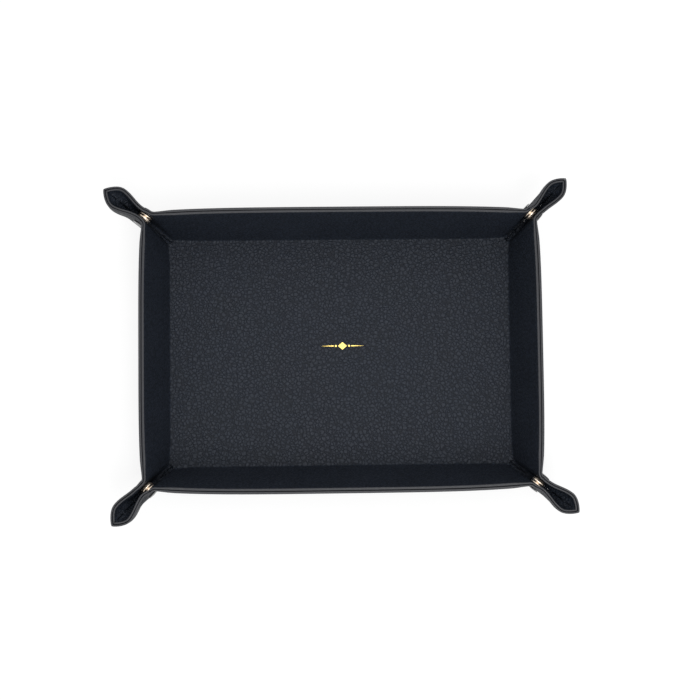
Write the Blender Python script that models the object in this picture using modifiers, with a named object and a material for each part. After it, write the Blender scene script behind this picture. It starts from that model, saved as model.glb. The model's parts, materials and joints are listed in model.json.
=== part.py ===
"""Leather catch-all tray: a glued leather sheet folded up into four leaning walls,
with its spare corners pinched into ears that snap fasteners hold shut."""
import math

import bmesh
import bpy
from mathutils import Matrix, Vector

# Sheets that the tray is glued up from: leather outside, board, lining inside
leather_thickness = 0.0010
board_thickness = 0.0007
lining_thickness = 0.0010
glue_gap = 0.0003

# Floor between its fold lines, and the walls that stand on them
floor_length = 0.2026
floor_width = 0.1356
wall_rise = 0.0370
wall_lean = math.radians(14.9)
long_wall_bow = 0.0018
short_wall_bow = 0.0015
bow_power = 1.5
fold_clearance = 0.0004
floor_corner_radius = 0.0025
floor_corner_cut = 0.0008
floor_roll_inset = 0.0056

# Board sheets stop short of the folds, of the rim and of the bare ears
board_below_rim = 0.0014
board_fold_inset = 0.0012
ear_taper = 0.0120

# Pinched ears: bearing from the tray's length, room for the snap, swell and tip
ear_bearings = {
    "back_left": math.radians(33.6),
    "back_right": math.radians(47.0),
    "front_left": math.radians(48.0),
    "front_right": math.radians(38.8),
}
ear_throat = 0.0042
ear_swell = 0.0069
ear_swell_back = 0.0112
ear_throat_back = 0.0250
ear_tip_round = 0.0008
ear_tip_cut = 0.0052
ear_pucker = 0.0040
keel_gap = 0.0012
keel_round_share = 0.95
tip_fullness = 0.85
tip_thinning_share = 0.8

# Snap fasteners: place on the ear, discs, button and the hole that the posts pass
snap_from_hinge = 0.0051
snap_from_rim = 0.0086
snap_disc_radius = 0.0039
snap_seat_gap = 0.0003
stud_flange = 0.0007
snap_face_gap = 0.00075
nub_radius = 0.00185
nub_play = 0.00045
nub_reach_share = 0.55
socket_floor_share = 0.78
socket_bar = 0.0008
socket_neck_radius = 0.0030
edge_break = 0.00015
cap_radius = 0.0042
cap_edge = 0.0004
cap_dome = 0.0012
back_radius = 0.0034
back_edge = 0.0003
back_dome = 0.0004
post_radius = 0.0015
post_play = 0.0003
cut_overrun = 0.0020

# Faces per piece
bow_cells = 8
wall_rows = 3
keel_cells = 3
flank_cells = 3
hinge_side_cells = 5
rim_side_cells = 6
snap_steps = 20
dome_steps = 4
hole_sides = 16
floor_corner_steps = 4
flat_turn = math.radians(30)

# Steps for reading a surface's direction, and for closing a turned piece on its axis
normal_step = 0.00002
turn_step_share = 0.01
axis_merge = 0.00002

# Sizes that follow from the ones above
wall_half = (leather_thickness + board_thickness + lining_thickness) / 2 + glue_gap
ear_half = (leather_thickness + lining_thickness + glue_gap) / 2
ear_middle = ear_throat / 2 + ear_half
ear_depth = 2 * ear_half
board_from_floor = leather_thickness + glue_gap
lining_from_floor = board_from_floor + board_thickness + glue_gap
hinge_skew = math.atan(math.sin(wall_lean))
rim_angle = math.pi / 2 - hinge_skew
upward = Vector((0, 0, 1))

# Shares of a roll's radius, from its axis, at which its outline turns
roll_shares = (1, 0.85, 0.5, 0, -0.5, -0.85, -0.985)

# The stud's button, as shares of its radius and of its height
nub_shares = ((0, 1), (0.55, 0.96), (0.86, 0.82), (1, 0.60), (0.90, 0.28), (0.82, 0))


def empty_scene():
    """Removes every object, so that the tray is built alone."""
    for obj in list(bpy.data.objects):
        bpy.data.objects.remove(obj, do_unlink=True)


def new_collection(name):
    """A collection of the scene for the parts, or for the cutters."""
    collection = bpy.data.collections.new(name)
    bpy.context.scene.collection.children.link(collection)
    return collection


def finish_material(name, colour, roughness, metallic):
    """A Principled material of one piece."""
    material = bpy.data.materials.new(name)
    material.use_nodes = True
    shader = material.node_tree.nodes["Principled BSDF"]
    shader.inputs["Base Color"].default_value = colour
    shader.inputs["Roughness"].default_value = roughness
    shader.inputs["Metallic"].default_value = metallic
    material.diffuse_color = colour
    return material


def leather_finish(name):
    return finish_material(name, (0.020, 0.022, 0.026, 1), 0.55, 0)


def lining_finish(name):
    return finish_material(name, (0.026, 0.028, 0.033, 1), 0.60, 0)


def board_finish(name):
    return finish_material(name, (0.28, 0.26, 0.24, 1), 0.85, 0)


def metal_finish(name):
    return finish_material(name, (0.80, 0.58, 0.42, 1), 0.25, 1)


def add_object(name, bm, material, collection):
    """Makes a named object of a finished bmesh, smooth but for its real edges."""
    mesh = bpy.data.meshes.new(name)
    bm.to_mesh(mesh)
    bm.free()
    mesh.shade_smooth()
    mesh.set_sharp_from_angle(angle=flat_turn)
    obj = bpy.data.objects.new(name, mesh)
    collection.objects.link(obj)
    if material:
        mesh.materials.append(material)
    return obj


def sheet(name, columns, rows, place, material, outside=None):
    """A closed sheet on a grid: place(column, row, outer) gives the corner points of its
    two faces, and outside(column, row) tells the cells that the sheet doesn't reach."""
    bm = bmesh.new()
    bmesh.ops.create_grid(bm, x_segments=columns - 1, y_segments=rows - 1, size=1)

    def cell(point):
        return (point.x + 1) / 2 * (columns - 1), (point.y + 1) / 2 * (rows - 1)

    if outside:
        cut = [face for face in bm.faces if outside(*cell(face.calc_center_median()))]
        bmesh.ops.delete(bm, geom=cut, context="FACES")
    bmesh.ops.triangulate(bm, faces=bm.faces[:], quad_method="FIXED")
    raised = bmesh.ops.extrude_face_region(bm, geom=bm.faces[:])
    outer_face = {item for item in raised["geom"] if isinstance(item, bmesh.types.BMVert)}
    for vert in bm.verts:
        column, row = cell(vert.co)
        vert.co = place(round(column), round(row), vert in outer_face)
    bmesh.ops.recalc_face_normals(bm, faces=bm.faces[:])
    if bm.calc_volume(signed=True) < 0:
        bmesh.ops.reverse_faces(bm, faces=bm.faces[:])
    return add_object(name, bm, material, tray_parts)


def plate(name, length, width, bottom, top, radius, material):
    """A flat sheet with rounded corners."""
    bm = bmesh.new()
    bmesh.ops.create_cube(bm, size=1)
    bmesh.ops.scale(bm, vec=(length, width, top - bottom), verts=bm.verts)
    bmesh.ops.translate(bm, vec=(0, 0, (top + bottom) / 2), verts=bm.verts)
    upright = [edge for edge in bm.edges if abs((edge.verts[0].co - edge.verts[1].co).z) > 0]
    bmesh.ops.bevel(bm, geom=upright, offset=radius, segments=floor_corner_steps, profile=0.5,
                    affect="EDGES", offset_type="OFFSET")
    return add_object(name, bm, material, tray_parts)


def axis_empty(name, place, direction, parent=None):
    """An empty on a joint's axis, with its Z along the axis, for the pieces that turn."""
    empty = bpy.data.objects.new(name, None)
    tray_parts.objects.link(empty)
    empty.empty_display_size = wall_rise / 2
    empty.matrix_world = Matrix.Translation(place) @ direction.to_track_quat("Z", "X").to_matrix().to_4x4()
    bpy.context.view_layer.update()
    if parent:
        attach(empty, parent)
    return empty


def attach(child, parent):
    """Hangs a piece on its joint's empty without moving it."""
    child.parent = parent
    child.matrix_parent_inverse = parent.matrix_world.inverted()
    bpy.context.view_layer.update()


class Corner:
    """A floor corner and the pinched ear on it. The ear's own axes are rise, up along
    the hinge lines, reach, out along the ear, and side, from its middle plane."""

    def __init__(self, name, length_sign, width_sign):
        self.name = name
        self.signs = Vector((length_sign, width_sign, 1))
        swing = ear_bearings[name] - math.pi / 4
        self.hinge_inset = math.sqrt(2) * ear_middle / math.cos(swing)
        self.hinge_shift = ear_middle * math.tan(swing)
        lean = math.sin(hinge_skew)
        self.rise = Vector((lean, lean, math.sqrt(1 - 2 * lean ** 2)))
        across = Vector((1, -1, 0)).normalized()
        outward = self.rise.cross(across)
        outward *= math.copysign(1, outward.x)
        self.reach = outward * math.cos(swing) - across * math.sin(swing)
        self.side = across * math.cos(swing) + outward * math.sin(swing)
        self.start = Vector((-self.hinge_inset / 2, -self.hinge_inset / 2, 0))

        self.top = wall_rise / math.cos(hinge_skew)
        rim_length = wall_rise - (wall_rise * math.tan(hinge_skew) - self.hinge_inset)
        tip = Vector((self.top + rim_length * math.cos(rim_angle), rim_length * math.sin(rim_angle)))
        self.root = Vector((-self.start.dot(self.rise), -self.start.dot(self.reach)))
        self.keel = (tip - self.root).normalized()
        self.inward = Vector((self.keel.y, -self.keel.x))
        self.keel_length = (tip - self.root).length
        self.tip_reach = tip.y - ear_tip_round
        self.snap_reach = snap_from_hinge + abs(self.hinge_shift)

    def world(self, local):
        """A point of this corner's own quarter, as a point of the tray."""
        corner = Vector((floor_length / 2, floor_width / 2, wall_half))
        return (corner + local) * self.signs

    def turned(self, local):
        """A direction of this corner's own quarter, as a direction of the tray."""
        return local * self.signs

    def place(self, rise, reach, side):
        return self.world(self.start + self.rise * rise + self.reach * reach + self.side * side)

    def hinge_reach(self, half):
        """Where the hinge line lies. half is 1 on the short wall and -1 on the long one."""
        return -half * self.hinge_shift

    def half_width(self, rise, reach):
        """Middle plane to outer face: parallel at the throat, widest before the tip,
        and drawn in to a point there. The snap holds the ear flat further out than the
        rim above it."""
        throat = ear_middle + ear_half
        back = self.tip_reach - reach
        if back < ear_swell_back:
            rounding = math.sin(math.pi / 2 * max(back, 0) / ear_swell_back)
            return ear_swell * rounding ** tip_fullness
        below_rim = self.top + reach / math.tan(rim_angle) - rise
        held = min(1, max(0, below_rim / (snap_from_rim - cap_radius - snap_seat_gap)))
        held_back = self.tip_reach - self.snap_reach - cap_radius - snap_seat_gap
        throat_back = ear_throat_back + (held_back - ear_throat_back) * held
        share = min(1, (back - ear_swell_back) / (throat_back - ear_swell_back))
        return throat + (ear_swell - throat) * (1 + math.cos(math.pi * share)) / 2

    def flank_depth(self, half, along):
        """Length of the flank from the keel up to the hinge or to the rim, at a place
        along the keel."""
        edge = self.hinge_reach(half) + ear_half + fold_clearance
        to_hinge = (self.root.y + along * self.keel.y - edge) / self.keel.x
        rim = Vector((math.sin(rim_angle), -math.cos(rim_angle)))
        to_rim = (self.top * rim.x - self.root.dot(rim) - along * self.keel.dot(rim)) / self.inward.dot(rim)
        return min(to_hinge, to_rim)

    def shoulder(self, half):
        """Place along the keel below the point where hinge and rim meet."""
        edge = self.hinge_reach(half) + ear_half + fold_clearance
        point = Vector((self.top + edge / math.tan(rim_angle), edge))
        return (point - self.root).dot(self.keel)

    def outer_point(self, half, along, turn):
        """A point of the outer face, as rise, reach and side. turn runs from 0 at the
        keel through 1, where the rounded fold becomes flat, to 2 at the upper edge."""
        depth = self.flank_depth(half, along)
        low = self.root + self.keel * along
        rounding = keel_round_share * min(self.half_width(low.x, low.y), depth)
        if turn <= 1:
            down = rounding * (1 - math.cos(math.pi / 2 * turn))
            fullness = math.sin(math.pi / 2 * turn)
        else:
            down = rounding + (depth - rounding) * (turn - 1)
            fullness = 1
        flat = low + self.inward * down
        return Vector((flat.x, flat.y, self.half_width(flat.x, flat.y) * fullness))

    def layer_point(self, half, along, turn, depth):
        """A point at a depth under the outer face, thinned where the tip is too narrow
        and kept off the other half of the ear."""
        point = self.outer_point(half, along, turn)
        low, high = max(turn - turn_step_share, 0), min(turn + turn_step_share, 2)
        lengthwise = self.outer_point(half, along + normal_step, turn) \
            - self.outer_point(half, along - normal_step, turn)
        upwards = self.outer_point(half, along, high) - self.outer_point(half, along, low)
        normal = upwards.cross(lengthwise).normalized()
        room = tip_thinning_share * (self.half_width(point.x, point.y) - keel_gap / 2) / ear_depth
        point -= normal * depth * min(1, room)
        point.z = max(point.z, keel_gap / 2)
        return self.place(point.x, point.y, half * point.z)

    def snap_matrix(self):
        """Middle of the snap fastener, with Z square to the ear towards the short wall's half."""
        rise = self.top + self.snap_reach / math.tan(rim_angle) - snap_from_rim
        place = self.place(rise, self.snap_reach, 0)
        direction = self.turned(self.side)
        return Matrix.Translation(place) @ direction.to_track_quat("Z", "X").to_matrix().to_4x4()


class Wall:
    """One wall, from its fold line on the floor up the slope to the rim."""

    def __init__(self, name, outward, length, distance, bow):
        self.name = name
        self.outward = outward
        self.along = Vector((abs(outward.y), abs(outward.x), 0))
        self.length = length
        self.bow = bow
        self.fold = outward * distance + upward * wall_half
        self.slope = outward * math.sin(wall_lean) + upward * math.cos(wall_lean)
        self.face = outward * math.cos(wall_lean) - upward * math.sin(wall_lean)
        self.turn_axis = upward.cross(outward)
        self.corners = {}

    def reach(self, end, rise):
        """Distance from the wall's middle to the ear's hinge line, at one end."""
        return self.length / 2 - self.corners[end].hinge_inset + rise * math.tan(hinge_skew)

    def point(self, along, rise, offset):
        limit = min(self.reach(-1, rise), self.reach(1, rise)) - ear_taper
        bulge = max(0, 1 - (along / limit) ** 2) * (rise / wall_rise) ** bow_power * self.bow
        return self.fold + self.along * along + self.slope * rise + self.face * (offset + bulge)

    def place_along(self, column, rise):
        """Place along the wall of a column, which is an end of the wall with a distance
        from the hinge there, or 0 with a share of the stretch between the tapers."""
        end, value = column
        if end:
            return end * (self.reach(end, rise) - value / math.cos(hinge_skew))
        low = ear_taper / math.cos(hinge_skew) - self.reach(-1, rise)
        high = self.reach(1, rise) - ear_taper / math.cos(hinge_skew)
        return low + (high - low) * value


def wall_columns(end_distances):
    """Columns of a wall sheet, from one end to the other."""
    middle = [(0, cell / bow_cells) for cell in range(bow_cells + 1)]
    return [(-1, distance) for distance in end_distances] + middle \
        + [(1, distance) for distance in reversed(end_distances)]


def half_thickness(distance):
    """Half of the wall's thickness, which thins to that of the bare ear at the hinge."""
    share = (distance - ear_half) / (ear_taper - ear_half)
    return ear_half + (wall_half - ear_half) * min(1, max(0, share))


def wall_sheet(name, wall, columns, faces, top, material):
    """A sheet of a wall. faces(distance) gives the offsets of its inner and outer faces.
    Its lower edge keeps clear of the fold roll, all the way down to flat."""

    def place(column, row, outer):
        end_distance = columns[column][1] if columns[column][0] else ear_taper
        offset = faces(end_distance)[1 if outer else 0]
        foot = math.sqrt((wall_half + fold_clearance) ** 2 - offset ** 2)
        rise = foot + (top - foot) * row / wall_rows
        return wall.point(wall.place_along(columns[column], rise), rise, offset)

    return sheet(name, len(columns), wall_rows + 1, place, material)


def hinge_roll(distance):
    """Offsets of the two faces of the wall's leather, which ends in a roll on the hinge."""
    half = half_thickness(distance)
    if distance >= ear_half:
        return half - leather_thickness, half
    round_off = math.sqrt(ear_half ** 2 - distance ** 2)
    return -round_off, half if distance > 0 else round_off


def build_wall(wall):
    """The leather, board and lining of one wall, on its fold line's empty."""
    hinge = axis_empty("fold_" + wall.name, wall.fold, wall.turn_axis)
    rolls = [ear_half * share for share in reversed(roll_shares)]
    leather = wall_sheet("wall_leather_" + wall.name, wall, wall_columns(rolls), hinge_roll,
                         wall_rise, leather_finish("wall_leather_" + wall.name))
    board = wall_sheet("wall_board_" + wall.name, wall, wall_columns([]),
                       lambda distance: (-board_thickness / 2, board_thickness / 2),
                       wall_rise - board_below_rim, board_finish("wall_board_" + wall.name))
    lining = wall_sheet("wall_lining_" + wall.name, wall, wall_columns([ear_half + glue_gap]),
                        lambda distance: (-half_thickness(distance),
                                          lining_thickness - half_thickness(distance)),
                        wall_rise, lining_finish("wall_lining_" + wall.name))
    for piece in (leather, board, lining):
        attach(piece, hinge)
    return hinge


def floor_lines():
    """Grid lines of the floor's leather across one direction, as a side and a distance
    inside the fold line there, with a roll at each end."""
    inward = [floor_roll_inset] + [wall_half * share for share in roll_shares]
    return [(-1, distance) for distance in reversed(inward)] + [(1, distance) for distance in inward]


def floor_faces(distance):
    """Underside and top of the floor's leather at a distance inside a fold line, where a
    roll of the wall's full thickness ends it."""
    if distance >= wall_half:
        return 0, leather_thickness
    round_off = math.sqrt(wall_half ** 2 - distance ** 2)
    return 0 if distance > 0 else wall_half - round_off, wall_half + round_off


def build_floor():
    """The leather under the floor, with the four fold rolls, then the board and lining."""
    lines = floor_lines()
    last = len(lines) - 1
    rolls = len(roll_shares) - 1
    corners = (rolls, last - rolls)

    def place(column, row, outer):
        x_side, x_inside = lines[column]
        y_side, y_inside = lines[row]
        cut = floor_corner_cut if column in corners and row in corners else 0
        height = floor_faces(min(x_inside, y_inside))[1 if outer else 0]
        return Vector((x_side * (floor_length / 2 - x_inside - cut),
                       y_side * (floor_width / 2 - y_inside - cut), height))

    def beyond_rolls(column, row):
        end = min(column, last - column)
        side = min(row, last - row)
        return min(end, side) < rolls and max(end, side) < rolls + 1

    sheet("floor_leather", last + 1, last + 1, place, leather_finish("floor_leather"), beyond_rolls)

    board_inset = wall_half + fold_clearance + board_fold_inset
    plate("floor_board", floor_length - 2 * board_inset, floor_width - 2 * board_inset, board_from_floor,
          board_from_floor + board_thickness, floor_corner_radius, board_finish("floor_board"))
    lining_inset = math.sqrt((wall_half + fold_clearance) ** 2 - (lining_from_floor - wall_half) ** 2)
    plate("floor_lining", floor_length - 2 * lining_inset, floor_width - 2 * lining_inset, lining_from_floor,
          lining_from_floor + lining_thickness, floor_corner_radius, lining_finish("floor_lining"))


def ear_joint(corner, half):
    """Point and axis of an ear half's hinge line, turning it open towards its wall's plane."""
    point = corner.place(0, corner.hinge_reach(half), half * ear_middle)
    along = Vector((0, 1, 0)) if half == 1 else Vector((1, 0, 0))
    flat = along - corner.rise * along.dot(corner.rise)
    return point, corner.turned(corner.reach).cross(corner.turned(flat)).normalized()


def hole_cutter(corner):
    """The hole for the snap's posts, through both halves of an ear."""
    bm = bmesh.new()
    radius = post_radius + post_play
    bmesh.ops.create_cone(bm, cap_ends=True, segments=hole_sides, radius1=radius, radius2=radius,
                          depth=2 * (ear_middle + ear_half + cut_overrun))
    cutter = add_object("snap_hole_" + corner.name, bm, None, cutters)
    cutter.matrix_world = corner.snap_matrix()
    cutter.hide_render = True
    cutter.display_type = "WIRE"
    return cutter


def ear_layer(name, corner, half, nearest, deepest, material, cutter):
    """One sheet of an ear half, between two depths under its outer face."""
    shoulder = corner.shoulder(half)
    end = corner.keel_length - ear_tip_cut
    places = [ear_pucker + (shoulder - ear_pucker) * cell / hinge_side_cells
              for cell in range(hinge_side_cells)]
    places += [shoulder + (end - shoulder) * cell / rim_side_cells for cell in range(rim_side_cells + 1)]
    turns = [cell / keel_cells for cell in range(keel_cells)]
    turns += [1 + cell / flank_cells for cell in range(flank_cells + 1)]

    def place(column, row, outer):
        return corner.layer_point(half, places[column], turns[row], nearest if outer else deepest)

    layer = sheet(name, len(places), len(turns), place, material)
    hole = layer.modifiers.new("snap_hole", "BOOLEAN")
    hole.operation = "DIFFERENCE"
    hole.solver = "EXACT"
    hole.object = cutter
    return layer


def turned_piece(name, profile, corner, parent):
    """A turned metal piece of the snap, from a profile that runs down its outer side."""
    bm = bmesh.new()
    points = [bm.verts.new((radius, 0, height)) for radius, height in profile]
    for upper, lower in zip(points, points[1:]):
        bm.edges.new((upper, lower))
    piece = add_object(name, bm, metal_finish(name), tray_parts)
    spin = piece.modifiers.new("turning", "SCREW")
    spin.axis = "Z"
    spin.angle = 2 * math.pi
    spin.steps = snap_steps
    spin.render_steps = snap_steps
    spin.use_merge_vertices = True
    spin.merge_threshold = axis_merge
    spin.use_smooth_shade = True
    piece.matrix_world = corner.snap_matrix()
    bpy.context.view_layer.update()
    attach(piece, parent)
    return piece


def dome(radius, edge, rise, direction, seat):
    """Profile of a domed head from its crown out to its rim, above a seat."""
    shares = [step / dome_steps for step in range(dome_steps + 1)]
    return [(radius * share, seat + direction * (edge + rise * math.sqrt(1 - share ** 2)))
            for share in shares]


def build_snap(corner, socket_half, stud_half):
    """Cap and socket on the short wall's half, and stud and back on the long wall's one."""
    seat = ear_throat / 2 - snap_seat_gap
    outer_seat = ear_throat / 2 + ear_depth + snap_seat_gap
    post_end = ear_throat / 2
    stud_face = stud_flange - seat
    depth = seat - stud_face
    nub_height = nub_reach_share * depth
    socket_face = stud_face + snap_face_gap
    socket_floor = stud_face + socket_floor_share * depth
    recess = nub_radius + nub_play

    socket = [(0, seat), (socket_neck_radius, seat), (snap_disc_radius, socket_face + socket_bar),
              (snap_disc_radius, socket_face + edge_break), (snap_disc_radius - edge_break, socket_face),
              (recess, socket_face), (recess, socket_floor), (0, socket_floor)]
    turned_piece("snap_socket_" + corner.name, socket, corner, socket_half)

    stud = [(nub_radius * across, stud_face + nub_height * height) for across, height in nub_shares]
    stud += [(snap_disc_radius - edge_break, stud_face), (snap_disc_radius, stud_face - edge_break),
             (snap_disc_radius, edge_break - seat), (snap_disc_radius - edge_break, -seat), (0, -seat)]
    turned_piece("snap_stud_" + corner.name, stud, corner, stud_half)

    cap = dome(cap_radius, cap_edge, cap_dome, 1, outer_seat)
    cap += [(cap_radius, outer_seat), (post_radius, outer_seat), (post_radius, post_end), (0, post_end)]
    turned_piece("snap_cap_" + corner.name, cap, corner, socket_half)

    back = [(0, -post_end), (post_radius, -post_end), (post_radius, -outer_seat), (back_radius, -outer_seat)]
    back += list(reversed(dome(back_radius, back_edge, back_dome, -1, -outer_seat)))
    turned_piece("snap_back_" + corner.name, back, corner, stud_half)


def build_ear(corner, wall_hinges):
    """Both halves of a pinched ear, each on its own hinge, and the snap between them."""
    cutter = hole_cutter(corner)
    halves = {}
    for half, kind in ((1, "short"), (-1, "long")):
        title = corner.name + "_" + kind
        point, axis = ear_joint(corner, half)
        hinge = axis_empty("bend_" + title, point, axis, wall_hinges[half])
        leather = ear_layer("ear_leather_" + title, corner, half, 0, leather_thickness,
                            leather_finish("ear_leather_" + title), cutter)
        lining = ear_layer("ear_lining_" + title, corner, half, leather_thickness + glue_gap, ear_depth,
                           lining_finish("ear_lining_" + title), cutter)
        attach(leather, hinge)
        attach(lining, hinge)
        halves[half] = hinge
    build_snap(corner, halves[1], halves[-1])


empty_scene()
tray_parts = new_collection("leather_storage_tray")
cutters = new_collection("cutters")

walls = {
    "back": Wall("back", Vector((0, 1, 0)), floor_length, floor_width / 2, long_wall_bow),
    "front": Wall("front", Vector((0, -1, 0)), floor_length, floor_width / 2, long_wall_bow),
    "right": Wall("right", Vector((1, 0, 0)), floor_width, floor_length / 2, short_wall_bow),
    "left": Wall("left", Vector((-1, 0, 0)), floor_width, floor_length / 2, short_wall_bow),
}
corners = {}
for width_sign, long_wall in ((1, "back"), (-1, "front")):
    for length_sign, short_wall in ((-1, "left"), (1, "right")):
        corner = Corner(long_wall + "_" + short_wall, length_sign, width_sign)
        corners[corner.name] = corner
        walls[long_wall].corners[length_sign] = corner
        walls[short_wall].corners[width_sign] = corner

build_floor()
folds = {name: build_wall(wall) for name, wall in walls.items()}
for corner in corners.values():
    long_wall, short_wall = corner.name.split("_")
    build_ear(corner, {1: folds[short_wall], -1: folds[long_wall]})
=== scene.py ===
"""A leather catch-all tray with pinched and snapped corners, dressed over its frame."""
import json
import math

import bmesh
import bpy
from mathutils import Matrix, Vector


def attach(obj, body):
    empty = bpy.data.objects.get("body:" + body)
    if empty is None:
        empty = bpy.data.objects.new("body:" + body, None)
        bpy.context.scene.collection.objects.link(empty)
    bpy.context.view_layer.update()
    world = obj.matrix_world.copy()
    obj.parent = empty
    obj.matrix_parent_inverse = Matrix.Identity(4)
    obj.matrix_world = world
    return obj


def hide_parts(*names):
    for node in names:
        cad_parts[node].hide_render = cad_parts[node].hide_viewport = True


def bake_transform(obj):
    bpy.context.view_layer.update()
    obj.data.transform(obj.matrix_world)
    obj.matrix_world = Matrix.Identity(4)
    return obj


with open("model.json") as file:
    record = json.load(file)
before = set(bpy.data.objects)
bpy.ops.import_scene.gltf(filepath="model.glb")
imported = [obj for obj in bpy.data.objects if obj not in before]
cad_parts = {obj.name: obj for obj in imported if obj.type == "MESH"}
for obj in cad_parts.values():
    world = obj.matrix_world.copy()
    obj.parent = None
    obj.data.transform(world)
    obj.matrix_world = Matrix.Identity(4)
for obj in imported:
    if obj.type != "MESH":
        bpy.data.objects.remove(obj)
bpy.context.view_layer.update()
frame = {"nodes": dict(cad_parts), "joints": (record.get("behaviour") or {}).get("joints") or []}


# Blank of the tray
# The outer leather and the lining are each cut as one rectangle and folded along four
# lines on the floor. The frame's joints give those lines, half way through the walls.
joints = {joint["name"]: joint for joint in frame["joints"]}
half_length = joints["fold_right"]["pos_m"][0]
half_width = joints["fold_back"]["pos_m"][1]
wall_half = joints["fold_back"]["pos_m"][2]


# Outer leather under the floor
# A smooth-backed piece of the outer sheet that the tray stands on. Its edges run on into
# the folds of the four walls, and its corners are rounded under the ears.
leather = 0.0010
corner_round = 0.0009
leather_sheen = 0.27
leather_matt = 0.62
wander_scale = 560.0
wander_reach = 0.0015
fine_ratio = 1.8
pore_scale = 3000.0
cloud_scale = 38.0
crown_share = 0.20
valley_share = 0.48
fine_share = 0.32
pore_share = 0.08
# Edge paint; its lighter grey is partly a painted highlight on the rounded cut edges.
edge_paint_and_highlight_tint = (0.044, 0.045, 0.050, 1)


class Signal:
    """A socket of a finish. Sums, differences and products of signals add Math nodes."""

    def __init__(self, tree, socket=None):
        self.tree = tree
        self.socket = socket

    def node(self, kind, settings, inputs, output=0):
        """Adds a node: first its settings, then the values or signals of its sockets."""
        made = self.tree.nodes.new(kind)
        for name, value in settings.items():
            setattr(made, name, value)
        for name, value in inputs.items():
            if isinstance(value, Signal):
                self.tree.links.new(value.socket, made.inputs[name])
            else:
                made.inputs[name].default_value = value
        return Signal(self.tree, made.outputs[output])

    def math(self, operation, first, second):
        """Adds a Math node."""
        return self.node("ShaderNodeMath", {"operation": operation}, {0: first, 1: second})

    def __add__(self, other):
        return self.math("ADD", self, other)

    def __sub__(self, other):
        return self.math("SUBTRACT", self, other)

    def __rsub__(self, other):
        return self.math("SUBTRACT", other, self)

    def __mul__(self, other):
        return self.math("MULTIPLY", self, other)

    __radd__ = __add__
    __rmul__ = __mul__

    def step(self, low, high):
        """Soft step from 0 at low to 1 at high."""
        return self.node("ShaderNodeMapRange", {"interpolation_type": "SMOOTHSTEP"},
                         {"Value": self, "From Min": low, "From Max": high})

    def tint(self, dark, light):
        """A colour between two, as this signal runs from 0 to 1."""
        return self.node("ShaderNodeMix", {"data_type": "RGBA"}, {"Factor": self, 6: dark, 7: light}, 2)


def new_finish(name, **constants):
    """A material with its constant sockets set, and the signal its nodes start from."""
    material = bpy.data.materials.new(name)
    material.use_nodes = True
    shader = material.node_tree.nodes["Principled BSDF"]
    for socket, value in constants.items():
        shader.inputs[socket.replace("_", " ")].default_value = value
    return material, shader, Signal(material.node_tree)


def paint(start, shader, **signals):
    """Feeds signals into the shader's sockets."""
    for socket, signal in signals.items():
        start.tree.links.new(signal.socket, shader.inputs[socket.replace("_", " ")])


def pebbled_leather(name, crease_shade_tint, pebble_lit_tint, relief, pebble_scale):
    """Leather with a pressed pebble grain, fine pores, and painted cut edges. Its colour holds painted shade
    in the grain's creases and a painted highlight on the pebble tops, over random tone; the edge paint's
    lighter grey is partly a painted highlight on the rounded edges.
    """
    material, shader, start = new_finish(name, Specular_IOR_Level=leather_sheen)
    place = start.node("ShaderNodeTexCoord", {}, {}, "Object")
    wander = start.node("ShaderNodeTexNoise", {},
                        {"Vector": place, "Scale": wander_scale, "Detail": 2.0}, "Color")
    shift = start.node("ShaderNodeVectorMath", {"operation": "MULTIPLY_ADD"},
                       {0: wander, 1: (wander_reach, wander_reach, wander_reach), 2: place})
    crown = start.node("ShaderNodeTexVoronoi", {"feature": "SMOOTH_F1"},
                       {"Vector": shift, "Scale": pebble_scale, "Smoothness": 0.35}, "Distance")
    valley = start.node("ShaderNodeTexVoronoi", {"feature": "DISTANCE_TO_EDGE"},
                        {"Vector": shift, "Scale": pebble_scale}, "Distance")
    fine = start.node("ShaderNodeTexVoronoi", {"feature": "SMOOTH_F1"},
                      {"Vector": shift, "Scale": pebble_scale * fine_ratio, "Smoothness": 0.3}, "Distance")
    pores = start.node("ShaderNodeTexNoise", {}, {"Vector": place, "Scale": pore_scale, "Detail": 3.0})
    cloud = start.node("ShaderNodeTexNoise", {}, {"Vector": place, "Scale": cloud_scale, "Detail": 3.0})
    pebble = (1 - crown.step(0.05, 0.75)) * crown_share + valley.step(0.0, 0.17) * valley_share
    pebble += (1 - fine.step(0.10, 0.70)) * fine_share
    grain = pebble * (1 - pore_share) + pores * pore_share
    edge = start.node("ShaderNodeAttribute", {"attribute_name": "edge"}, {}, "Fac")
    # Painted shade darkens the grain's creases and a painted highlight lightens the pebble tops; the cloud
    # adds random tone.
    grain_tone_and_shade = (pebble * 1.05 + cloud * 0.44 - 0.34).tint(crease_shade_tint, pebble_lit_tint)
    # Cut edges take the edge paint, whose lighter grey is partly a painted highlight.
    colour = start.node("ShaderNodeMix", {"data_type": "RGBA"},
                        {"Factor": edge, 6: grain_tone_and_shade, 7: edge_paint_and_highlight_tint}, 2)
    height = grain * (1 - edge * 0.9) + pores * edge * 0.3
    bump = start.node("ShaderNodeBump", {}, {"Height": height, "Strength": 1.0, "Distance": relief})
    paint(start, shader, Base_Color=colour, Normal=bump,
          Roughness=leather_matt - pebble * 0.18 + cloud * 0.10 - edge * 0.14)
    return material


# Crease tint is painted shade in the grain's creases; pebble tint is a painted highlight on the pebble tops.
outer_leather = pebbled_leather(
    "outer leather", crease_shade_tint=(0.0044, 0.0060, 0.0095, 1), pebble_lit_tint=(0.0092, 0.0120, 0.0180, 1),
    relief=0.00010, pebble_scale=620.0)


def finish_piece(name, bm, material, slot):
    """Makes the object of a finished bmesh, smooth where its faces meet softly."""
    mesh = bpy.data.meshes.new(name)
    bm.to_mesh(mesh)
    bm.free()
    mesh.shade_smooth()
    mesh.set_sharp_from_angle(angle=math.radians(48))
    mesh.materials.append(material)
    piece = bpy.data.objects.new(name, mesh)
    bpy.context.scene.collection.objects.link(piece)
    return piece


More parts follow.
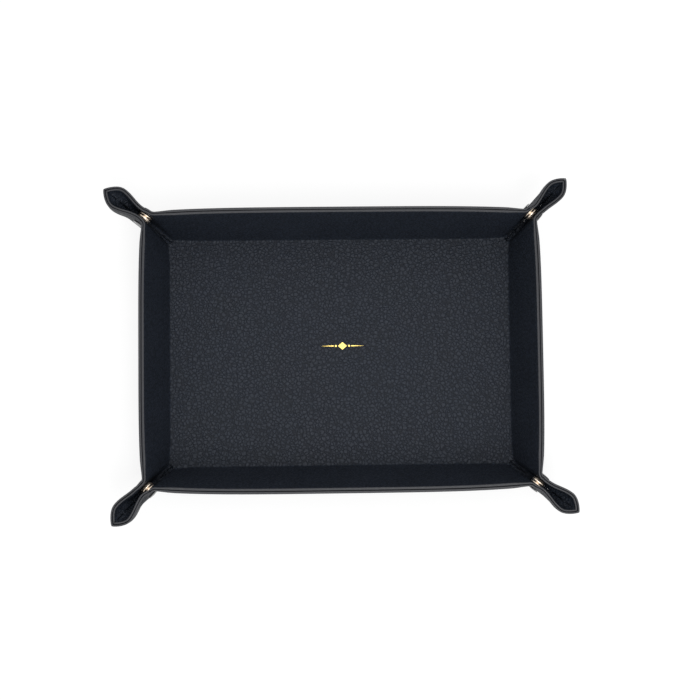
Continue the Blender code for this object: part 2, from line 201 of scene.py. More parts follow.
def flat_pad(name, reach, breadth, low, high, round_off, material, slot):
    """A flat sheet with rounded corners and square edges, half reach by half breadth."""
    bm = bmesh.new()
    bmesh.ops.create_cube(bm, size=2)
    bmesh.ops.scale(bm, vec=(reach, breadth, (high - low) / 2), verts=bm.verts)
    bmesh.ops.translate(bm, vec=(0, 0, (high + low) / 2), verts=bm.verts)
    upright = [edge for edge in bm.edges if abs((edge.verts[0].co - edge.verts[1].co).z) > 0]
    bmesh.ops.bevel(bm, geom=upright, offset=round_off, segments=6, profile=0.5, affect="EDGES",
                    material=-1)
    return finish_piece(name, bm, material, slot)


underside = flat_pad("floor_underside", half_length, half_width, 0, leather, corner_round,
                     outer_leather, "leather")
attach(underside, "floor")
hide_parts("floor_leather")


# Lining on the floor
# The floor of the tray shows the inner leather's pebble grain, flat over its board and
# pressed into a crease along each wall.
wall_lean = math.radians(14.9)
crease_leg = 0.0009
crease_inset = wall_half * math.tan((math.pi / 2 - wall_lean) / 2) + crease_leg
crease_corner = 0.0001
floor_top = 2 * wall_half
# Crease tint is painted shade in the grain's creases; pebble tint is a painted highlight on the pebble tops.
lining_leather = pebbled_leather(
    "lining leather", crease_shade_tint=(0.0042, 0.0065, 0.0114, 1), pebble_lit_tint=(0.0148, 0.0203, 0.0318, 1),
    relief=0.00036, pebble_scale=500.0)
floor_pad = flat_pad("floor_pad", half_length - crease_inset, half_width - crease_inset,
                     floor_top - leather, floor_top, crease_corner, lining_leather, "lining")
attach(floor_pad, "floor")
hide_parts("floor_lining")


# Foil ornament on the floor
# A small divider of gold foil, hot stamped in the middle of the floor: a lozenge between
# two dots and two tapered rules.
foil_middle = Vector((0.0012, 0.0036, floor_top))
foil_lift = 0.00004
foil_depth = 0.00003
lozenge_reach = 0.0026
lozenge_height = 0.0044
rule_start = 0.0052
rule_end = 0.0128
rule_height = 0.0007
dot_place = 0.0039
dot_radius = 0.0006

foil, foil_shader, foil_start = new_finish("gold foil", Metallic=1.0)
foil_place = foil_start.node("ShaderNodeTexCoord", {}, {}, "Object")
foil_wear = foil_start.node("ShaderNodeTexNoise", {},
                            {"Vector": foil_place, "Scale": 1500.0, "Detail": 4.0})
foil_bump = foil_start.node("ShaderNodeBump", {},
                            {"Height": foil_wear, "Strength": 0.5, "Distance": 0.00008})
foil_tint = foil_wear.step(0.3, 0.7).tint((0.62, 0.44, 0.10, 1), (0.90, 0.70, 0.22, 1))
paint(foil_start, foil_shader, Base_Color=foil_tint, Roughness=foil_wear * 0.3 + 0.22, Normal=foil_bump)

bm = bmesh.new()


def stamp(outline):
    """A flat island of foil on a few outline points."""
    bm.faces.new([bm.verts.new(foil_middle + Vector((x, y, foil_lift))) for x, y in outline])


stamp([(-lozenge_reach, 0), (0, -lozenge_height / 2), (lozenge_reach, 0), (0, lozenge_height / 2)])
for side in (-1, 1):
    stamp([(side * rule_start, -rule_height / 2), (side * rule_end, 0),
           (side * rule_start, rule_height / 2)])
    dot = bmesh.ops.create_circle(bm, cap_ends=True, segments=16, radius=dot_radius)
    bmesh.ops.translate(bm, vec=foil_middle + Vector((side * dot_place, 0, foil_lift)), verts=dot["verts"])
raised = bmesh.ops.extrude_face_region(bm, geom=bm.faces[:])
bmesh.ops.translate(bm, vec=(0, 0, -foil_depth),
                    verts=[item for item in raised["geom"] if isinstance(item, bmesh.types.BMVert)])
bmesh.ops.recalc_face_normals(bm, faces=bm.faces[:])
ornament = finish_piece("foil_ornament", bm, foil, "snap_metal")
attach(ornament, "floor")


# Boards
# Dark card, glued between the two leathers, stiffens the floor and each wall. Only its cut
# edge shows, a little below the rim.
board, board_shader, board_start = new_finish("board")
board_place = board_start.node("ShaderNodeTexCoord", {}, {}, "Object")
fibres = board_start.node("ShaderNodeTexNoise", {}, {"Vector": board_place, "Scale": 900.0, "Detail": 4.0})
paint(board_start, board_shader, Base_Color=fibres.tint((0.006, 0.006, 0.007, 1), (0.014, 0.013, 0.013, 1)),
      Roughness=fibres * 0.2 + 0.75,
      Normal=board_start.node("ShaderNodeBump", {}, {"Height": fibres, "Distance": 0.0001}))
for name, node in frame["nodes"].items():
    if "_board" in name:
        node.data.materials.clear()
        node.data.materials.append(board)


# Pinched corners of the blank
# At each corner the spare leather folds outwards in two halves that a snap holds together.
# Each ear has its own bearing from the tray's length, and this is its frame: rise, up along
# the lines where the walls end, reach, out along the ear, and side, from its middle plane.
wall_rise = 0.0370
bare_half = 0.00115
hinge_skew = math.atan(math.sin(wall_lean))
ear_bearings = {"back_left": 33.6, "back_right": 47.0, "front_left": 48.0, "front_right": 38.8}
throat_gap = 0.0042
ear_middle = throat_gap / 2 + bare_half
bend_reach = 0.0015
ear_swells = {"back_left": 0.0069, "back_right": 0.0060, "front_left": 0.0066, "front_right": 0.0065}
ear_trims = {"back_left": 0.0016, "back_right": 0.0020, "front_left": 0.0012, "front_right": 0.0013}
neck_sways = {"back_left": 0.0, "back_right": 0.0009, "front_left": 0.0011, "front_right": 0.0005}
tip_sways = {"back_left": 0.0, "back_right": 0.0009, "front_left": 0.0002, "front_right": 0.0008}
neck_draw = 0.0005
above_snap = 0.0044
past_snap = 0.0095
swell_back = 0.0098
throat_back = 0.0250
tip_fullness = 0.80
flare_lean = 0.70
snap_from_hinge = 0.0051
snap_from_rim = 0.0086
flare_start = 0.0020
flare_run = 0.0040
neck_full = 0.0050
lean_full = 0.0070
tip_lean_start = 0.0080
snap_fade = 0.0080
bend_run = bend_reach / math.cos(hinge_skew)


def smooth(value, low, high):
    """Soft step from 0 at low to 1 at high."""
    share = min(1, max(0, (value - low) / (high - low)))
    return share * share * (3 - 2 * share)


class Pinch:
    """The shape of one corner, worked out in the quarter where length and width grow."""

    def __init__(self, name):
        self.name = name
        self.signs = Vector((1 if "right" in name else -1, 1 if "back" in name else -1, 1))
        swing = math.radians(ear_bearings[name] - 45)
        self.inset = math.sqrt(2) * ear_middle / math.cos(swing)
        self.shift = ear_middle * math.tan(swing)
        lean = math.sin(hinge_skew)
        self.rise = Vector((lean, lean, math.sqrt(1 - 2 * lean ** 2)))
        across = Vector((1, -1, 0)).normalized()
        outward = self.rise.cross(across)
        outward *= math.copysign(1, outward.x)
        self.reach = outward * math.cos(swing) - across * math.sin(swing)
        self.side = across * math.cos(swing) + outward * math.sin(swing)
        self.start = Vector((half_length - self.inset / 2, half_width - self.inset / 2, wall_half))
        self.top = wall_rise / math.cos(hinge_skew)
        rim_length = wall_rise - wall_rise * math.tan(hinge_skew) + self.inset
        tip = Vector((self.top + rim_length * math.sin(hinge_skew), rim_length * math.cos(hinge_skew)))
        corner = Vector((half_length, half_width, wall_half)) - self.start
        self.root = Vector((corner.dot(self.rise), corner.dot(self.reach)))
        self.keel_slope = (tip.x - self.root.x) / (tip.y - self.root.y)
        self.keel_level = math.atan(1 / self.keel_slope)
        self.tip_reach = tip.y - ear_trims[name]
        self.swell = ear_swells[name]
        self.snap_reach = snap_from_hinge + abs(self.shift)

    def world(self, point):
        """A point or direction of that quarter, brought to this corner."""
        return point * self.signs

    def inside(self, rise, reach, side):
        """A point of the ear, in the corner's own quarter."""
        return self.start + self.rise * rise + self.reach * reach + self.side * side

    def half_span(self, rise, reach):
        """Middle plane to outer face: parallel at the throat, widest before the tip and drawn
        in to it. The ear flares upwards, so lower down it is shaped like its neck above."""
        below_rim = max(0, self.top + reach * math.tan(hinge_skew) - rise)
        back = max(0, self.tip_reach - reach)
        back += flare_lean * below_rim * smooth(back, flare_start, swell_back + flare_run)
        rim_only = smooth(reach, bend_reach, neck_full) * (1 - smooth(below_rim, 0, above_snap))
        throat = ear_middle + bare_half - neck_draw * rim_only
        if back < swell_back:
            return self.swell * math.sin(math.pi / 2 * back / swell_back) ** tip_fullness
        share = min(1, (back - swell_back) / (throat_back - swell_back))
        return throat + (self.swell - throat) * (1 + math.cos(math.pi * share)) / 2

    def sway(self, rise, reach):
        """How far the ear leans towards the short wall, at its neck and tip. It stands
        straight where the snap is."""
        below_rim = self.top + reach * math.tan(hinge_skew) - rise
        neck, tip = neck_sways[self.name], tip_sways[self.name]
        lean = neck + (tip - neck) * smooth(reach, tip_lean_start, self.tip_reach)
        held = smooth(below_rim, 0, above_snap) * (1 - smooth(reach, past_snap, past_snap + snap_fade))
        return lean * smooth(reach, bend_reach * 0.5, lean_full) * (1 - held)

    def lined_place(self, rise, reach):
        """Reach and side of the lining's face behind a place of the outer face."""
        step = 0.00005
        slope = (self.half_span(rise, reach + step) - self.half_span(rise, reach - step)) / (2 * step)
        length = math.sqrt(1 + slope * slope)
        return reach + 2 * bare_half * slope / length, self.half_span(rise, reach) - 2 * bare_half / length

    def snap_matrix(self):
        """The snap's middle, with Z square to the ear towards the short wall's half."""
        rise = self.top + self.snap_reach * math.tan(hinge_skew) - snap_from_rim
        place = self.world(self.inside(rise, self.snap_reach, 0))
        return Matrix.Translation(place) @ self.world(self.side).to_track_quat("Z", "X").to_matrix().to_4x4()


pinches = {name: Pinch(name) for name in ear_bearings}


# Walls
# Each wall is leather outside, board, and leather inside, glued. The outer leather comes
# round the fold from under the floor, and the lining comes up from the crease. Both cut
# edges at the rim are rounded and painted, the paint's lighter grey partly a painted highlight.
edge_round = 0.0004
ear_taper = 0.0120
weld_distance = 0.000001
bow_power = 1.5
bow_flatness = 4
wall_bows = {"back": 0.0018, "front": 0.0023, "left": 0.0015, "right": 0.0016}
rim_press = 0.45
press_depth = 0.0012
wall_columns = 90
fold_steps = 7
face_steps = 14
edge_angles = [math.radians(angle) for angle in (22.5, 45, 67.5, 90)]


def sheet_rows():
    """Once round a sheet's section: fold and face on the side that shows, over the rounded
    rim, and back on the glued side. Each row has a share, a lift at the rim, and a depth."""
    shares = [step / fold_steps for step in range(fold_steps)]
    shares += [1 + step / face_steps for step in range(face_steps + 1)]
    front = [(share, 0, 0) for share in shares]
    over = [(2, edge_round * math.sin(angle), edge_round * (1 - math.cos(angle)))
            for angle in edge_angles]
    under = [(2, lift, leather - depth) for _, lift, depth in reversed(over)]
    return front + over + under + [(share, 0, leather) for share in reversed(shares)]


def closed_sheet(name, columns, place, material, slot):
    """A closed sheet: a grid laid once round the section for each column, welded where
    it meets itself and capped at both ends. The attribute edge marks its cut edge."""
    bm = bmesh.new()
    rows = sheet_rows()
    bmesh.ops.create_grid(bm, x_segments=columns - 1, y_segments=len(rows), size=1)
    edge = bm.verts.layers.float.new("edge")
    loop = rows + rows[:1]
    for vert in bm.verts:
        column = round((vert.co.x + 1) / 2 * (columns - 1))
        share, lift, depth = loop[round((vert.co.y + 1) / 2 * len(rows))]
        vert[edge] = 1 if lift else 0
        vert.co = place(column / (columns - 1), share, lift, depth)
    bmesh.ops.remove_doubles(bm, verts=bm.verts[:], dist=weld_distance)
    bmesh.ops.holes_fill(bm, edges=[item for item in bm.edges if item.is_boundary], sides=0)
    bmesh.ops.recalc_face_normals(bm, faces=bm.faces[:])
    if bm.calc_volume(signed=True) < 0:
        bmesh.ops.reverse_faces(bm, faces=bm.faces[:])
    return finish_piece(name, bm, material, slot)


def bent(foot, corner, end, share):
    """A point on the soft bend from foot to end round a corner, and the way it runs."""
    turn = math.pi / 2 * share
    point = corner + (foot - corner) * (1 - math.sin(turn)) + (end - corner) * (1 - math.cos(turn))
    return point, (corner - foot) * math.cos(turn) + (end - corner) * math.sin(turn)


class WallForm:
    """One wall's shape, from its fold line up the slope to the rim."""

    def __init__(self, name, outward):
        self.name = name
        self.outward = outward
        self.along = Vector((abs(outward.y), abs(outward.x), 0))
        self.slope = outward * math.sin(wall_lean) + Vector((0, 0, math.cos(wall_lean)))
        self.face = outward * math.cos(wall_lean) - Vector((0, 0, math.sin(wall_lean)))
        distance = half_width if outward.y else half_length
        self.fold = outward * distance + Vector((0, 0, wall_half))
        self.half_span = half_length if outward.y else half_width
        self.ends = {}
        for pinch in pinches.values():
            if name in pinch.name:
                self.ends[1 if pinch.signs.dot(self.along) > 0 else -1] = pinch

    def reach(self, end, rise):
        """Wall's middle to the line where the ear begins, at one end."""
        return self.half_span - self.ends[end].inset + rise * math.tan(hinge_skew)

    def half_thick(self, along, rise):
        """Half of the wall's thickness, which thins towards the bare ears."""
        distance = min(self.reach(1, rise) - along, self.reach(-1, rise) + along) * math.cos(hinge_skew)
        return bare_half + (wall_half - bare_half) * smooth(distance, bend_reach, ear_taper)

    def bow(self, along, rise):
        """How far the wall bulges outwards, most in the middle of its rim."""
        limit = min(self.reach(1, rise), self.reach(-1, rise)) - bend_run
        fall = max(0, 1 - abs(along / limit) ** bow_flatness)
        return fall * (max(rise, 0) / wall_rise) ** bow_power * wall_bows[self.name]

    def pressed(self, thick, rise, depth):
        """Depth under a face, where the two leathers are pressed together above the board."""
        room = (thick - bare_half) / (wall_half - bare_half)
        near_rim = smooth(rise, wall_rise - press_depth, wall_rise - edge_round)
        return depth * (1 + rim_press * room * near_rim)

    def along_at(self, share, rise):
        """Place along the wall, as share runs from its one end to the other."""
        low = bend_run - self.reach(-1, rise)
        high = self.reach(1, rise) - bend_run
        return low + (high - low) * share

    def layout(self, column, rise, offset):
        """A point of the slope, in a column at a rise, off the wall's middle."""
        return self.fold + self.along * self.along_at(column, rise) + self.slope * rise + self.face * offset

    def folded(self, foot, corner, end, share, depth, outside):
        """A point of the bend between floor and wall, at a depth under its outside."""
        point, run = bent(foot, corner, end, share)
        normal = run.cross(self.along).normalized()
        return point - normal * math.copysign(1, normal.dot(outside)) * depth

    def outer(self, column, share, lift, depth):
        """A point of the outer leather, at a depth under its outer face."""
        if share < 1:
            along = self.along_at(column, 0)
            thick = self.half_thick(along, 0)
            low = -(wall_half - thick * math.sin(wall_lean)) / math.cos(wall_lean)
            foot = self.fold + self.along * along - Vector((0, 0, wall_half))
            return self.folded(foot, self.layout(column, low, thick), self.layout(column, 0, thick),
                               share, depth, self.face - self.slope)
        rise = (wall_rise - edge_round) * (share - 1) + lift
        along = self.along_at(column, rise)
        thick = self.half_thick(along, rise)
        return self.layout(column, rise, thick - self.pressed(thick, rise, depth) + self.bow(along, rise))

    def inner(self, column, share, lift, depth):
        """A point of the lining, at a depth behind the face that shows."""
        along = self.along_at(column, 0)
        foot_thick = self.half_thick(along, 0)
        low = (wall_half - foot_thick * math.sin(wall_lean)) / math.cos(wall_lean)
        start = low + crease_leg
        if share < 1:
            foot = self.fold + self.along * along - self.outward * crease_inset + Vector((0, 0, wall_half))
            return self.folded(foot, self.layout(column, low, -foot_thick),
                               self.layout(column, start, -foot_thick),
                               share, depth, self.slope - self.face)
        rise = start + (wall_rise - edge_round - start) * (share - 1) + lift
        along = self.along_at(column, rise)
        thick = self.half_thick(along, rise)
        return self.layout(column, rise, self.pressed(thick, rise, depth) - thick + self.bow(along, rise))


walls = {name: WallForm(name, outward) for name, outward in (
    ("back", Vector((0, 1, 0))), ("front", Vector((0, -1, 0))),
    ("left", Vector((-1, 0, 0))), ("right", Vector((1, 0, 0))))}
for name, wall in walls.items():
    outer = closed_sheet("wall_outer_" + name, wall_columns, wall.outer, outer_leather, "leather")
    inner = closed_sheet("wall_inner_" + name, wall_columns, wall.inner, lining_leather, "lining")
    wall.fold - wall.outward * wall_half
    wall.fold + wall.outward * wall_half
    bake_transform(outer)
    wall.fold - wall.outward * crease_inset
    wall.fold + wall.outward * wall_half
    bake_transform(inner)
    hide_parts("wall_leather_" + name)
    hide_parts("wall_lining_" + name)


# Ears
# The spare corner of the blank, folded down its diagonal: each half bends away from the
# end of its wall, lies flat where the snap holds it, bulges behind the snap, and rounds
# under at the folded keel to meet the other half. Outer leather and lining run together.
bend_columns = 8
flank_columns = 46
keel_settle = 0.0080
keel_soft = 0.0010
keel_tilt = 0.5
keel_column = 1.25
leg_column = 1.1
leg_ratio = 1.15
least_height = 0.0002
most_leg = 0.8
half_gap = 0.00002
tip_gap = 0.00004
tip_step = 0.00005
tip_crowding = 0.6
tip_column = 1.9
closing_start = 0.2
closing_full = 0.5
nudge = 0.001
half_names = {1: "short", -1: "long"}


class EarForm:
    """One half of an ear, as columns from the end of its wall out to the tip."""

    def __init__(self, pinch, half, lined):
        self.pinch = pinch
        self.half = half
        self.lined = lined
        along = Vector((0, 1, 0)) if half == 1 else Vector((1, 0, 0))
        outward = Vector((1, 0, 0)) if half == 1 else Vector((0, 1, 0))
        self.along = along
        self.flat = (along - pinch.rise * along.dot(pinch.rise)).normalized()
        self.wall_face = outward * math.cos(wall_lean) - Vector((0, 0, math.sin(wall_lean)))
        self.hinge_reach = -half * pinch.shift
        self.angle = math.acos(self.flat.dot(pinch.reach))
        self.radius = bend_reach / math.tan(self.angle / 2)
        self.flank_start = self.hinge_reach + bend_reach
        self.end = self.tip_end()
        wall_end = half_width if half == 1 else half_length
        self.wall_end = wall_end - pinch.inset - bend_run
        inset = crease_inset if lined else 0
        self.foot_z = floor_top if lined else 0
        self.pad_edge = outward * (outward.dot(Vector((half_length, half_width, 0))) - inset)
        self.pad_corner = along * (wall_end - inset) + self.pad_edge + Vector((0, 0, self.foot_z))
        self.keel_start = (self.pad_corner - pinch.start).dot(pinch.reach)
        fold_leg = (wall_half - bare_half * math.sin(wall_lean)) / math.cos(wall_lean)
        self.wall_leg = (crease_leg if lined else fold_leg) / math.cos(hinge_skew)

    def tip_end(self):
        """Where the ear's half closes on the middle plane."""
        if not self.lined:
            return self.pinch.tip_reach - tip_gap
        reach = self.pinch.tip_reach - swell_back
        while self.pinch.lined_place(self.pinch.top, reach)[1] > tip_step:
            reach += tip_step
        return reach

    def reach_at(self, column):
        """Outer place behind a column, closer together towards the tip."""
        even = column - 1
        run = math.sin(math.pi / 2 * even) * tip_crowding + even * (1 - tip_crowding)
        return self.flank_start + (self.end - self.flank_start) * run

    def flank_place(self, column, rise):
        """Reach and side of the flank's face."""
        reach = self.reach_at(column)
        if self.lined:
            return self.pinch.lined_place(rise, reach)
        return reach, self.pinch.half_span(rise, reach)

    def face_point(self, column, rise):
        """The face that shows, above the fold at its foot."""
        pinch = self.pinch
        if column <= 1:
            offset = -bare_half if self.lined else bare_half
            hinge = pinch.inside(rise, self.hinge_reach, self.half * ear_middle)
            centre = hinge - self.flat * bend_reach + self.wall_face * self.radius
            face = (self.wall_face * math.sin((1 - column) * self.angle)
                    + pinch.side * self.half * math.sin(column * self.angle)) / math.sin(self.angle)
            return centre - face * (self.radius - offset)
        reach, side = self.flank_place(column, rise)
        return pinch.inside(rise, reach, self.half * max(side, half_gap) + pinch.sway(rise, reach))

    def keel_rise(self, reach):
        """Height of the folded keel along rise, from the floor's corner up to the tip."""
        pinch = self.pinch
        line = pinch.root.x + (reach - pinch.root.y) * pinch.keel_slope
        level = (self.foot_z - pinch.start.z - reach * pinch.reach.z) / pinch.rise.z
        if not self.lined:
            settled = smooth(reach, self.keel_start, self.keel_start + keel_settle)
            return line + (level - line) * (1 - settled)
        line += 2 * bare_half / math.sin(pinch.keel_level)
        return (line + level + math.sqrt((line - level) ** 2 + keel_soft ** 2)) / 2

    def foot(self, column):
        """Where the section starts: on the floor's fold, or on the keel past its corner."""
        if column <= 1:
            end = self.along.dot(self.pad_corner)
            along = self.wall_end + (end - self.wall_end) * column
            return self.along * along + self.pad_edge + Vector((0, 0, self.foot_z))
        reach = self.flank_place(column, self.keel_rise(self.reach_at(column)))[0]
        settled = smooth(reach, self.flank_start, self.flank_start + keel_settle)
        reach += (self.keel_start - self.flank_start) * (1 - settled)
        rise = self.keel_rise(reach)
        side = self.half * half_gap / 2 + self.pinch.sway(rise, reach)
        return self.pinch.inside(rise, reach, side)

    def surface(self, column, share):
        """A point of the face that shows."""
        pinch = self.pinch
        foot = self.foot(column)
        if column <= 1:
            rim_reach = bend_reach * (2 * column - 1) + self.hinge_reach * column
        else:
            rim_reach = self.flank_place(column, pinch.top)[0]
        rim = pinch.top + rim_reach * math.tan(hinge_skew) - edge_round
        low = (foot.z - self.face_point(column, 0).z) / pinch.rise.z
        if column > 1:
            low += (self.keel_rise(rim_reach) - low) * smooth(column, 1, keel_column)
        span = (self.face_point(column, low) - foot).length
        leg = self.wall_leg + (leg_ratio * span - self.wall_leg) * smooth(column, 0, leg_column)
        leg = min(leg, max(rim - low, least_height) * most_leg)
        if share < 1:
            return bent(foot, self.face_point(column, low), self.face_point(column, low + leg), share)[0]
        return self.face_point(column, low + leg + (rim - low - leg) * (share - 1))

    def beside(self, point):
        """Distance of a point from where the two halves of the ear meet."""
        along = point - self.pinch.start
        sway = self.pinch.sway(along.dot(self.pinch.rise), along.dot(self.pinch.reach))
        return (along.dot(self.pinch.side) - sway) * self.half

    def place(self, position, share, lift, depth):
        """A point of the sheet, at a depth under its face. At the tip the lining is cut
        off on the middle plane, where it meets the other half's."""
        columns = bend_columns + flank_columns
        column = position * columns / bend_columns
        if column > 1:
            column = 1 + (position * columns - bend_columns) / flank_columns
        point = self.surface(column, share)
        run = self.surface(min(column + nudge, 2), share) - self.surface(max(column - nudge, 0), share)
        climb = self.surface(column, min(share + nudge, 2)) - self.surface(column, max(share - nudge, 0))
        normal = run.cross(climb).normalized()
        outside = self.wall_face * (1 - min(column, 1)) + self.pinch.side * self.half * min(column, 1)
        if self.lined:
            outside = -outside
        elif share < 1:
            outside = outside - self.pinch.rise * keel_tilt
        normal *= math.copysign(1, normal.dot(outside))
        moved = point + self.pinch.rise * (lift / math.cos(hinge_skew)) - normal * depth
        if column > 1:
            run.normalize()
            closing = -run.dot(self.pinch.side) * self.half
            if self.lined and closing > closing_start:
                beside = max(self.beside(moved), 0)
                near_tip = smooth(column, tip_column, 2)
                moved += run * (beside / closing * near_tip * smooth(closing, closing_start, closing_full))
            moved += self.pinch.side * self.half * max(0, half_gap - self.beside(moved))
        return self.pinch.world(moved)


for name, pinch in pinches.items():
    for half, kind in half_names.items():
        for lined, title, material, slot in ((False, "outer", outer_leather, "leather"),
                                             (True, "inner", lining_leather, "lining")):
            form = EarForm(pinch, half, lined)
            ear = closed_sheet("ear_%s_%s_%s" % (title, name, kind), bend_columns + flank_columns + 1,
                               form.place, material, slot)
            middle = pinch.inside(pinch.top / 2, form.hinge_reach, half * ear_middle)
            pinch.world(middle - form.flat * bend_reach)
            pinch.world(middle + pinch.reach * bend_reach)
            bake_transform(ear)
            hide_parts("ear_%s_%s_%s" % ("lining" if lined else "leather", name, kind))


# Snap fasteners
# Inside each ear a rose gold socket with a sprung mouth takes a rose gold stud. Outside, a
# domed cap and an eyelet back in black enamel rivet them to the leather. Cap and socket are
# on the short wall's half, stud and back on the other.
disc_radius = 0.0039
cap_radius = 0.0042
post_radius = 0.0015
nub_radius = 0.00185
seat_gap = 0.0003
rolled_edge = 0.00022
socket_bar = 0.0008
stud_flange = 0.0007
face_gap = 0.00075
well_share = 0.78
nub_play = 0.00045
nub_share = 0.55
cap_edge = 0.0003
cap_roll = 0.00015
cap_dome = 0.0005
dome_fullness = 0.9
dome_steps = 8
small_break = 0.0001
snap_turns = 56
roll_angles = [math.radians(angle) for angle in range(90, -91, -30)]
widest = 3

metal, metal_shader, metal_start = new_finish("rose gold", Metallic=1.0)
metal_place = metal_start.node("ShaderNodeTexCoord", {}, {}, "Object")
hairs = metal_start.node("ShaderNodeTexNoise", {}, {"Vector": metal_place, "Scale": 1900.0, "Detail": 4.0})
haze = metal_start.node("ShaderNodeTexNoise", {}, {"Vector": metal_place, "Scale": 420.0, "Detail": 2.0})
paint(metal_start, metal_shader, Base_Color=haze.tint((0.94, 0.78, 0.62, 1), (1.0, 0.88, 0.74, 1)),
      Roughness=hairs * 0.10 + 0.26,
      Normal=metal_start.node("ShaderNodeBump", {}, {"Height": hairs, "Strength": 0.1, "Distance": 0.00001}))

enamel, enamel_shader, enamel_start = new_finish("black enamel", Coat_Weight=0.6, Coat_Roughness=0.12)
enamel_place = enamel_start.node("ShaderNodeTexCoord", {}, {}, "Object")
mottle = enamel_start.node("ShaderNodeTexNoise", {},
                           {"Vector": enamel_place, "Scale": 1400.0, "Detail": 4.0})
enamel_tint = mottle.tint((0.006, 0.007, 0.009, 1), (0.014, 0.015, 0.018, 1))
enamel_roughness = mottle * 0.15 + 0.30
enamel_bump = enamel_start.node("ShaderNodeBump", {},
                                {"Height": mottle, "Strength": 0.2, "Distance": 0.00001})
paint(enamel_start, enamel_shader, Base_Color=enamel_tint, Roughness=enamel_roughness, Normal=enamel_bump)


def rolled(radius, height, thick=rolled_edge):
    """Outline points of a rolled edge, from its top round to its underside."""
    return [(radius - thick + thick * math.cos(angle), height - thick * (1 - math.sin(angle)))
            for angle in roll_angles]


def disc_rim(top, bottom):
    """Outline points round a disc's rim, rolled above and below."""
    return rolled(disc_radius, top)[:widest + 1] + rolled(disc_radius, bottom + 2 * rolled_edge)[widest:]


def domed(radius, height, rise):
    """Outline points of a dome, from its crown out to its radius."""
    return [(radius * step / dome_steps,
             height + rise * math.cos(math.pi / 2 * step / dome_steps) ** dome_fullness)
            for step in range(dome_steps)]


def turned(name, outline, finish, pinch, body, node):
    """A piece turned on a lathe and set on the snap's axis."""
    bm = bmesh.new()
    points = [bm.verts.new((radius, 0, height)) for radius, height in outline]
    edges = [bm.edges.new(pair) for pair in zip(points, points[1:])]
    bmesh.ops.spin(bm, geom=points + edges, cent=(0, 0, 0), axis=(0, 0, 1), angle=2 * math.pi,
                   steps=snap_turns, use_merge=True)
    bmesh.ops.remove_doubles(bm, verts=bm.verts[:], dist=weld_distance)
    bmesh.ops.recalc_face_normals(bm, faces=bm.faces[:])
    bmesh.ops.transform(bm, matrix=pinch.snap_matrix(), verts=bm.verts)
    piece = finish_piece(name, bm, finish, "snap_metal")
    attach(piece, body)
    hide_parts(node)


seat = throat_gap / 2 - seat_gap
outer_seat = throat_gap / 2 + 2 * bare_half + seat_gap
stud_face = stud_flange - seat
socket_face = stud_face + face_gap
well_floor = stud_face + well_share * (seat - stud_face)
mouth = nub_radius + nub_play
nub = nub_share * (seat - stud_face)

socket_outline = [(0, seat), (0.0030, seat), (0.0033, seat - 0.0002)]
socket_outline += disc_rim(socket_face + socket_bar, socket_face)
socket_outline += [
    (0.0033, socket_face + 0.00002), (0.0031, socket_face + small_break),
    (0.0028, socket_face + small_break), (mouth + small_break, socket_face),
    (mouth, socket_face + small_break), (mouth + 0.0002, socket_face + 0.0004),
    (mouth, well_floor - small_break), (mouth - small_break, well_floor), (0, well_floor)]

stud_outline = [
    (0, stud_face + nub - 0.00015), (0.0008, stud_face + nub - small_break), (0.0012, stud_face + nub),
    (0.0016, stud_face + nub * 0.86), (nub_radius, stud_face + nub * 0.6),
    (0.0017, stud_face + nub * 0.3), (0.0015, stud_face + small_break), (0.0016, stud_face),
    (0.0029, stud_face), (0.0031, stud_face - small_break)]
stud_outline += disc_rim(stud_face, -seat)
stud_outline += [(0.0030, -seat), (0, -seat)]

cap_outline = domed(cap_radius - 0.0002, outer_seat + cap_edge, cap_dome)
cap_outline += rolled(cap_radius, outer_seat + cap_edge, cap_roll)
cap_outline += [(post_radius + small_break, outer_seat), (post_radius, outer_seat - small_break),
                (post_radius, throat_gap / 2), (0, throat_gap / 2)]

eyelet_outline = [
    (0, -throat_gap / 2), (post_radius, -throat_gap / 2), (post_radius, -outer_seat),
    (0.0031, -outer_seat), (0.0034, -outer_seat - 0.0002), (0.0032, -outer_seat - 0.0004),
    (0.0022, -outer_seat - 0.0006), (0.0013, -outer_seat - 0.00065), (0.0009, -outer_seat - 0.0005),
    (0.0006, -outer_seat - small_break), (0, -outer_seat)]

for name, pinch in pinches.items():
    turned("snap_ring_" + name, socket_outline, metal, pinch, "ear_%s_short" % name, "snap_socket_" + name)
    turned("snap_post_" + name, stud_outline, metal, pinch, "ear_%s_long" % name, "snap_stud_" + name)
    turned("snap_button_" + name, cap_outline, enamel, pinch, "ear_%s_short" % name, "snap_cap_" + name)
    turned("snap_eyelet_" + name, eyelet_outline, enamel, pinch, "ear_%s_long" % name, "snap_back_" + name)


# Surroundings
# A white table in a white room, under three square softboxes: the strongest at the front
# right, one overhead, and a weak one behind. The camera looks down from nearly above.
table_reach = 3.0
table_glow = 0.785
table_mirrored = 0.3
room_light = 0.55
room_seen = 0.45
room_mirrored = 0.30
softbox_size = 0.8

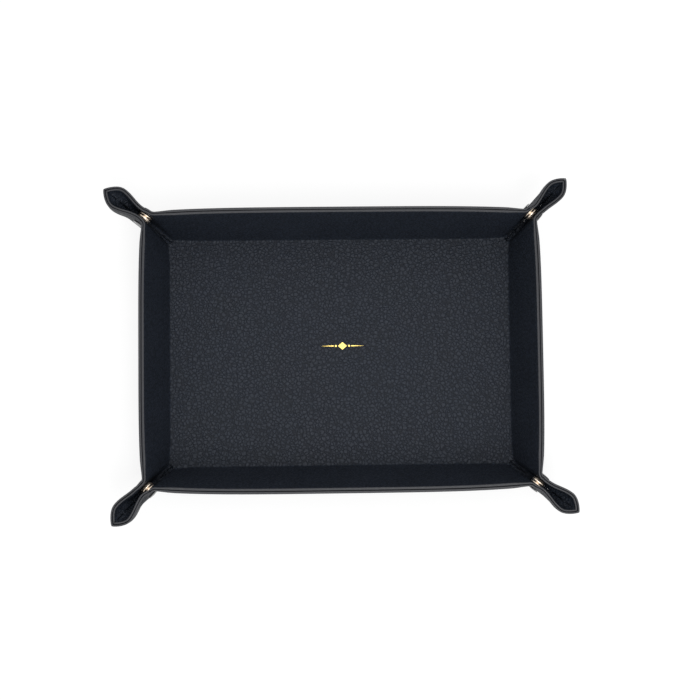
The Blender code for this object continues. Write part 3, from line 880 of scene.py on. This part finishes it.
bm = bmesh.new()
bmesh.ops.create_grid(bm, x_segments=1, y_segments=1, size=table_reach)
mesh = bpy.data.meshes.new("table")
bm.to_mesh(mesh)
bm.free()
table = bpy.data.objects.new("table", mesh)
bpy.context.scene.collection.objects.link(table)
white, white_shader, white_start = new_finish("white table", Roughness=0.9, Specular_IOR_Level=0.1)
seen = white_start.node("ShaderNodeLightPath", {}, {}, "Is Camera Ray")
mirrored = white_start.node("ShaderNodeLightPath", {}, {}, "Is Glossy Ray")
paint(white_start, white_shader, Base_Color=seen.tint((0.80, 0.80, 0.80, 1), (0.24, 0.24, 0.24, 1)))
glow = white_start.node("ShaderNodeEmission", {}, {
    "Color": (1, 1, 1, 1), "Strength": seen * table_glow + mirrored * table_mirrored})
lit = Signal(white_start.tree, white_shader.outputs[0])
both = white_start.node("ShaderNodeAddShader", {}, {0: lit, 1: glow})
white_start.tree.links.new(both.socket, white_start.tree.nodes["Material Output"].inputs["Surface"])
mesh.materials.append(white)

world = bpy.data.worlds.new("white room")
bpy.context.scene.world = world
world.use_nodes = True
room = Signal(world.node_tree)
path_seen = room.node("ShaderNodeLightPath", {}, {}, "Is Camera Ray")
path_mirrored = room.node("ShaderNodeLightPath", {}, {}, "Is Glossy Ray")
backdrop = world.node_tree.nodes["Background"]
backdrop.inputs["Color"].default_value = (1, 1, 1, 1)
strength = path_seen * room_seen + path_mirrored * room_mirrored + room_light
world.node_tree.links.new(strength.socket, backdrop.inputs["Strength"])


def soft_light(name, place, power):
    """A square softbox that looks at the tray."""
    data = bpy.data.lights.new(name, "AREA")
    data.size = softbox_size
    data.energy = power
    lamp = bpy.data.objects.new(name, data)
    bpy.context.scene.collection.objects.link(lamp)
    lamp.location = place
    lamp.rotation_euler = (-Vector(place)).to_track_quat("-Z", "Y").to_euler()


soft_light("window", (0.30, -0.62, 1.25), power=9.0)
soft_light("ceiling", (0.00, 0.14, 1.50), power=4.6)
soft_light("rear", (-0.10, 1.00, 1.15), power=2.6)

camera_place = Vector((-0.0123, -0.0418, 0.7228))
camera_turn = Vector((math.radians(3.421), math.radians(-1.405), math.radians(-0.659)))
camera_data = bpy.data.cameras.new("camera")
camera_data.sensor_width = 36
camera_data.lens = 62.95
camera = bpy.data.objects.new("camera", camera_data)
bpy.context.scene.collection.objects.link(camera)
camera.location = camera_place
camera.rotation_euler = Matrix.Rotation(camera_turn.length, 3, camera_turn.normalized()).to_euler()
bpy.context.scene.camera = camera
bpy.context.scene.view_settings.view_transform = "Standard"
